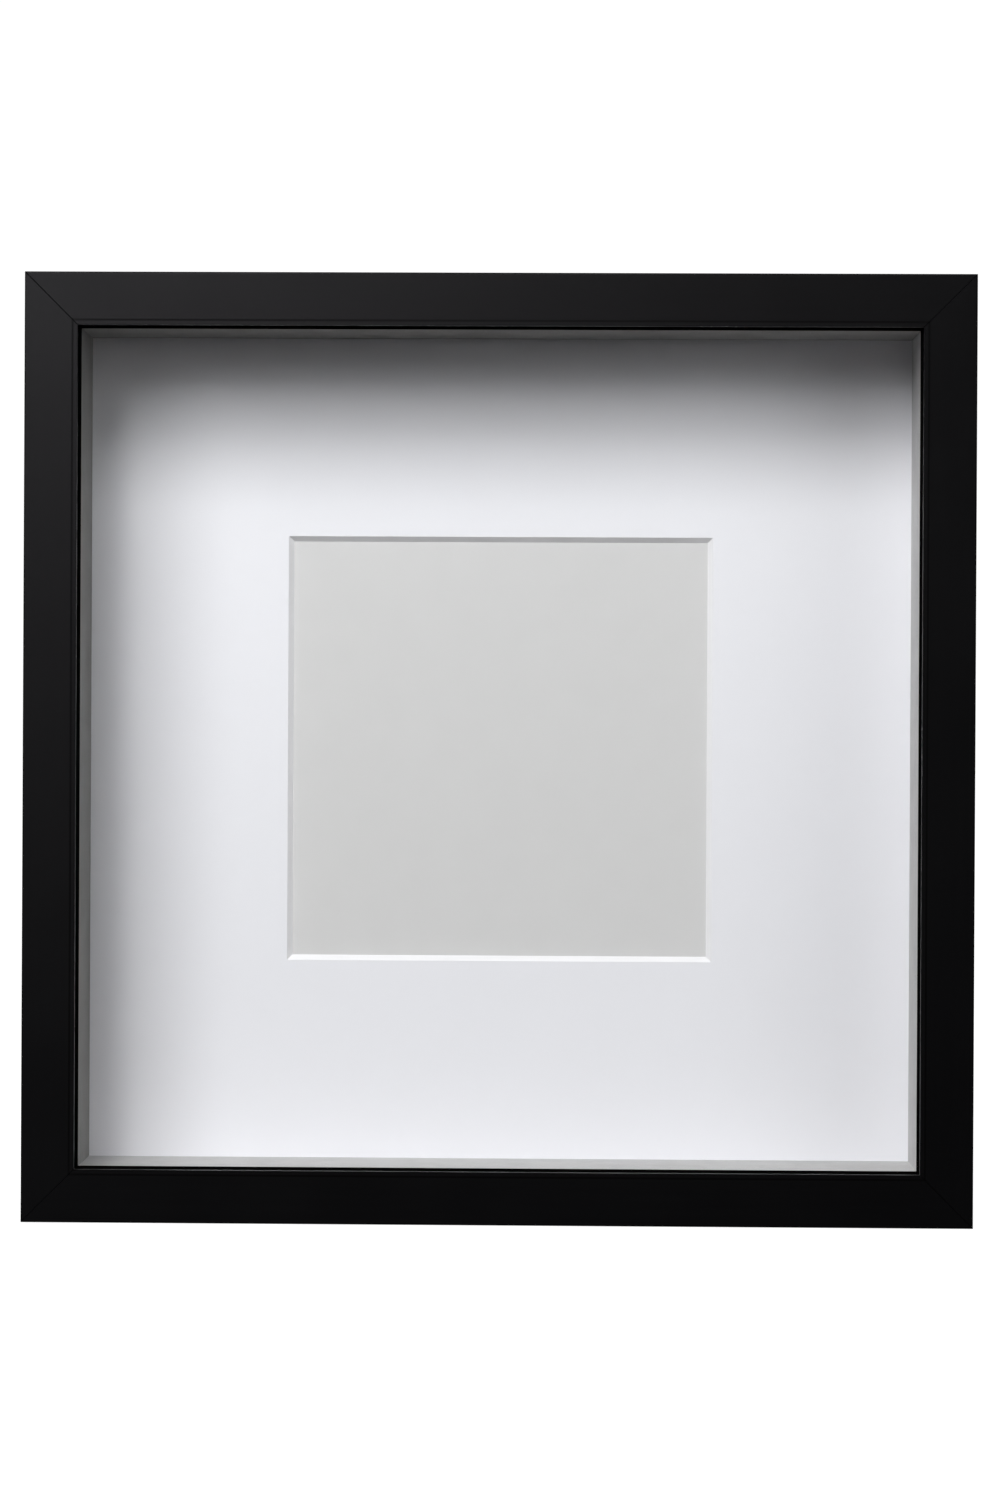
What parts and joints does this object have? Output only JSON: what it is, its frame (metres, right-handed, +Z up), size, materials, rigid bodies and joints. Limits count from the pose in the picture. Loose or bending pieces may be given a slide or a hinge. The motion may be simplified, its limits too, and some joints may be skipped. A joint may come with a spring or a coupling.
{
  "type": "deep box picture frame",
  "caption": "Square deep box frame of mitred black rails with glazing, spacer strips, a bevel-cut window mat, a picture sheet, turn buttons on a backing board and a hanging ring.",
  "frame": {"origin": "centre of the bottom face of the bottom rail, between the frame's front face and the rails' rear land", "axes": "+X to the right seen from the front, +Y from the glazed front to the back, +Z up"},
  "size_m": [0.25, 0.0486, 0.25],
  "materials": {
    "black_rail": "satin black foil on fibreboard",
    "nail_steel": "plain",
    "clear_glass": "clear float",
    "spacer_board": "matt white",
    "mat_board": "matt cool white",
    "picture_paper": "plain light grey",
    "hardboard": "smooth brown hardboard",
    "button_steel": "zinc plated",
    "screw_steel": "zinc plated",
    "hanger_steel": "nickel plated"
  },
  "bodies": {
    "frame": {"frame_rail_bottom": "black_rail", "frame_rail_top": "black_rail", "frame_rail_left": "black_rail", "frame_rail_right": "black_rail", "corner_nails": "nail_steel", "glazing_sheet": "clear_glass", "spacer_bottom": "spacer_board", "spacer_top": "spacer_board", "spacer_left": "spacer_board", "spacer_right": "spacer_board", "window_mat": "mat_board", "picture_sheet": "picture_paper", "backing_board": "hardboard", "turn_button_screws": "screw_steel", "hanger_strap": "hanger_steel", "hanger_rivets": "hanger_steel"},
    "turn_button_bottom_left": {"turn_button_bottom_left": "button_steel"},
    "turn_button_bottom_right": {"turn_button_bottom_right": "button_steel"},
    "turn_button_top_left": {"turn_button_top_left": "button_steel"},
    "turn_button_top_right": {"turn_button_top_right": "button_steel"},
    "turn_button_left_lower": {"turn_button_left_lower": "button_steel"},
    "turn_button_left_upper": {"turn_button_left_upper": "button_steel"},
    "turn_button_right_lower": {"turn_button_right_lower": "button_steel"},
    "turn_button_right_upper": {"turn_button_right_upper": "button_steel"},
    "hanger_ring": {"hanger_ring": "hanger_steel"}
  },
  "joints": [
    {"name": "turn_button_bottom_left_pivot", "type": "hinge", "parent": "frame", "child": "turn_button_bottom_left", "pos_m": [-0.06, 0.0232, 0.0045], "axis": [0, 1, 0], "continuous": true},
    {"name": "turn_button_bottom_right_pivot", "type": "hinge", "parent": "frame", "child": "turn_button_bottom_right", "pos_m": [0.06, 0.0232, 0.0045], "axis": [0, 1, 0], "continuous": true},
    {"name": "turn_button_top_left_pivot", "type": "hinge", "parent": "frame", "child": "turn_button_top_left", "pos_m": [-0.06, 0.0232, 0.2455], "axis": [0, 1, 0], "continuous": true},
    {"name": "turn_button_top_right_pivot", "type": "hinge", "parent": "frame", "child": "turn_button_top_right", "pos_m": [0.06, 0.0232, 0.2455], "axis": [0, 1, 0], "continuous": true},
    {"name": "turn_button_left_lower_pivot", "type": "hinge", "parent": "frame", "child": "turn_button_left_lower", "pos_m": [-0.1205, 0.0232, 0.065], "axis": [0, 1, 0], "continuous": true},
    {"name": "turn_button_left_upper_pivot", "type": "hinge", "parent": "frame", "child": "turn_button_left_upper", "pos_m": [-0.1205, 0.0232, 0.185], "axis": [0, 1, 0], "continuous": true},
    {"name": "turn_button_right_lower_pivot", "type": "hinge", "parent": "frame", "child": "turn_button_right_lower", "pos_m": [0.1205, 0.0232, 0.065], "axis": [0, 1, 0], "continuous": true},
    {"name": "turn_button_right_upper_pivot", "type": "hinge", "parent": "frame", "child": "turn_button_right_upper", "pos_m": [0.1205, 0.0232, 0.185], "axis": [0, 1, 0], "continuous": true},
    {"name": "hanger_ring_swing", "type": "hinge", "parent": "frame", "child": "hanger_ring", "pos_m": [0, 0.02418, 0.218], "axis": [1, 0, 0], "range_deg": [-2, 182]}
  ]
}
